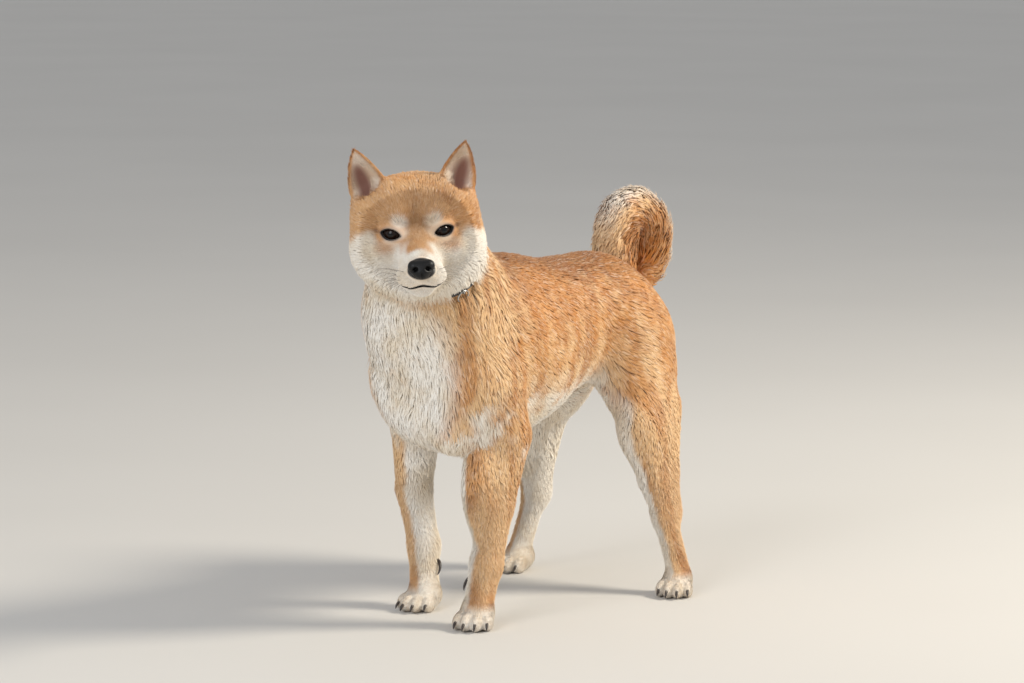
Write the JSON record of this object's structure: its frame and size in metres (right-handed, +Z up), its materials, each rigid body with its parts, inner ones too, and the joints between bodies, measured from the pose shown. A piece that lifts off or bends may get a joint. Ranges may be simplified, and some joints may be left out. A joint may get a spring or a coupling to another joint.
{
  "type": "shiba inu",
  "caption": "Life-size model of a young red shiba inu standing on four legs, head turned to its left, tail curled over the back, with a plain collar.",
  "frame": {"origin": "on the floor, under the middle of the whole model's box", "axes": "+Z up, -Y the way the dog's body faces, +X to the dog's own left"},
  "size_m": [0.2603, 0.5319, 0.4911],
  "materials": {
    "coat_red": "matte short fur, orange red over cream",
    "coat_cream": "matte fur, cream white, with an orange red crown and bridge of the nose",
    "nose_skin": "moist, finely pebbled",
    "eye": "wet and clear, dark brown",
    "strap": "dark, slightly worn",
    "ring_steel": "bright, lightly scratched"
  },
  "bodies": {
    "root": {"torso": "coat_red", "neck": "coat_cream", "head": "coat_cream", "ear_left": "coat_red", "ear_right": "coat_red", "eye_left": "eye", "eye_right": "eye", "nose": "nose_skin", "leg_front_left": "coat_red", "leg_front_right": "coat_red", "leg_hind_left": "coat_red", "leg_hind_right": "coat_red", "tail": "coat_red", "collar": "strap", "collar_ring": "ring_steel"}
  },
  "joints": []
}
